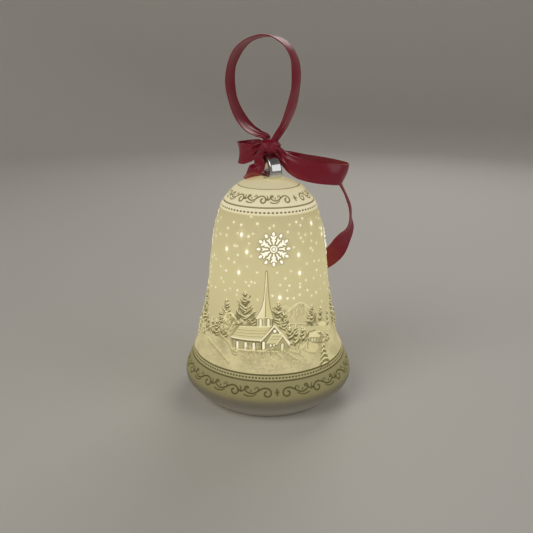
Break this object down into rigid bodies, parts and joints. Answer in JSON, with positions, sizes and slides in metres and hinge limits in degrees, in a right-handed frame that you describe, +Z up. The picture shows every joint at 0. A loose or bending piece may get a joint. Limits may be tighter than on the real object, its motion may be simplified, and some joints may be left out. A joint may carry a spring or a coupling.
{
  "type": "lit porcelain bell ornament",
  "caption": "Standing Christmas bell ornament in relief-carved bisque porcelain, lit from inside by a plug-in battery light, with a polished eye and a satin ribbon bow.",
  "frame": {"origin": "centre of the flat ring the bell stands on", "axes": "+Z up along the bell's axis, -Y towards the front, the side with the village scene and the snowflake, +X to the viewer's right"},
  "size_m": [0.0876, 0.086, 0.1766],
  "materials": {
    "porcelain": "unglazed matt white bisque porcelain, lit warm cream from inside",
    "polished_metal": "mirror-polished plated steel",
    "zinc_steel": "zinc-plated fasteners",
    "soft_seal": "translucent white silicone",
    "satin_ribbon": "crimson double-face satin",
    "white_plastic": "fine moulded texture",
    "frosted_plastic": "frosted diffuser, lit warm white",
    "grip_rubber": "matt silicone",
    "circuit_board": "green solder mask",
    "led_resin": "clear warm-white emitter",
    "cell_steel": "bright nickel-plated can",
    "contact_metal": "gold-flashed spring brass",
    "black_plastic": "fine moulded texture"
  },
  "bodies": {
    "light_unit": {"light_housing": "white_plastic", "grip_ring": "grip_rubber", "light_cover": "white_plastic", "light_diffuser": "frosted_plastic", "led_board": "circuit_board", "led_emitter": "led_resin", "negative_contact": "contact_metal", "coin_cell_lower": "cell_steel", "coin_cell_upper": "cell_steel", "switch_body": "black_plastic", "cover_screw_1": "zinc_steel", "cover_screw_2": "zinc_steel", "cover_screw_3": "zinc_steel"},
    "bell": {"bell_shell": "porcelain", "hanger_eye": "polished_metal", "hanger_seal_washer": "soft_seal", "hanger_steel_washer": "zinc_steel", "hanger_nut": "zinc_steel", "ribbon_knot": "satin_ribbon", "bow_loop_right": "satin_ribbon", "bow_loop_left": "satin_ribbon", "bow_tail_right": "satin_ribbon", "bow_tail_left": "satin_ribbon", "hanging_loop": "satin_ribbon"},
    "door": {"battery_door": "white_plastic", "positive_contact": "contact_metal"},
    "switch": {"switch_slider": "black_plastic"}
  },
  "joints": [
    {"name": "bell_lift", "type": "slide", "parent": "light_unit", "child": "bell", "axis": [0, 0, 1], "range_m": [0, 0.03]},
    {"name": "battery_door_twist", "type": "hinge", "parent": "light_unit", "child": "door", "pos_m": [0, 0, 0.001], "axis": [0, 0, 1], "range_deg": [0, 45]},
    {"name": "switch_slide", "type": "slide", "parent": "light_unit", "child": "switch", "axis": [-1, 0, 0], "range_m": [0, 0.003]}
  ]
}
